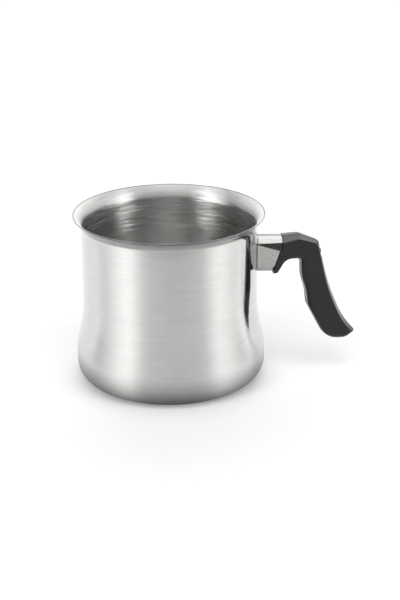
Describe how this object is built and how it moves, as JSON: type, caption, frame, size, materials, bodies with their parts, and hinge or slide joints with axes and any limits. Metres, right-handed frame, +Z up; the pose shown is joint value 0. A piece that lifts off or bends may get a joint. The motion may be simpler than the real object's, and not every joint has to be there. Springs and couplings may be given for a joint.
{
  "type": "milk pan",
  "caption": "Deep stainless steel milk pan with a flared pouring lip, a rounded belly and a black pistol grip clamped to the neck through a polished ferrule.",
  "frame": {"origin": "middle of the underside of the flat base, on the pan's axis", "axes": "+Z up along the pan's axis, +X from the axis towards the handle"},
  "size_m": [0.2088, 0.141, 0.1268],
  "materials": {
    "brushed_stainless": "satin outside, brushed round the inside",
    "polished_stainless": "polished sheet with a rounded end",
    "black_phenolic": "moulded black phenolic, semi-gloss",
    "black_oxide": "black oxide screw",
    "zinc_steel": "bright zinc plate",
    "plain_stainless": "mill finish strap"
  },
  "bodies": {
    "root": {"pan_body": "brushed_stainless", "handle_ferrule": "polished_stainless", "handle_grip": "black_phenolic", "handle_screw": "black_oxide", "lock_washer": "zinc_steel", "flat_washer": "zinc_steel", "handle_bracket": "plain_stainless", "bracket_nut": "zinc_steel"}
  },
  "joints": []
}
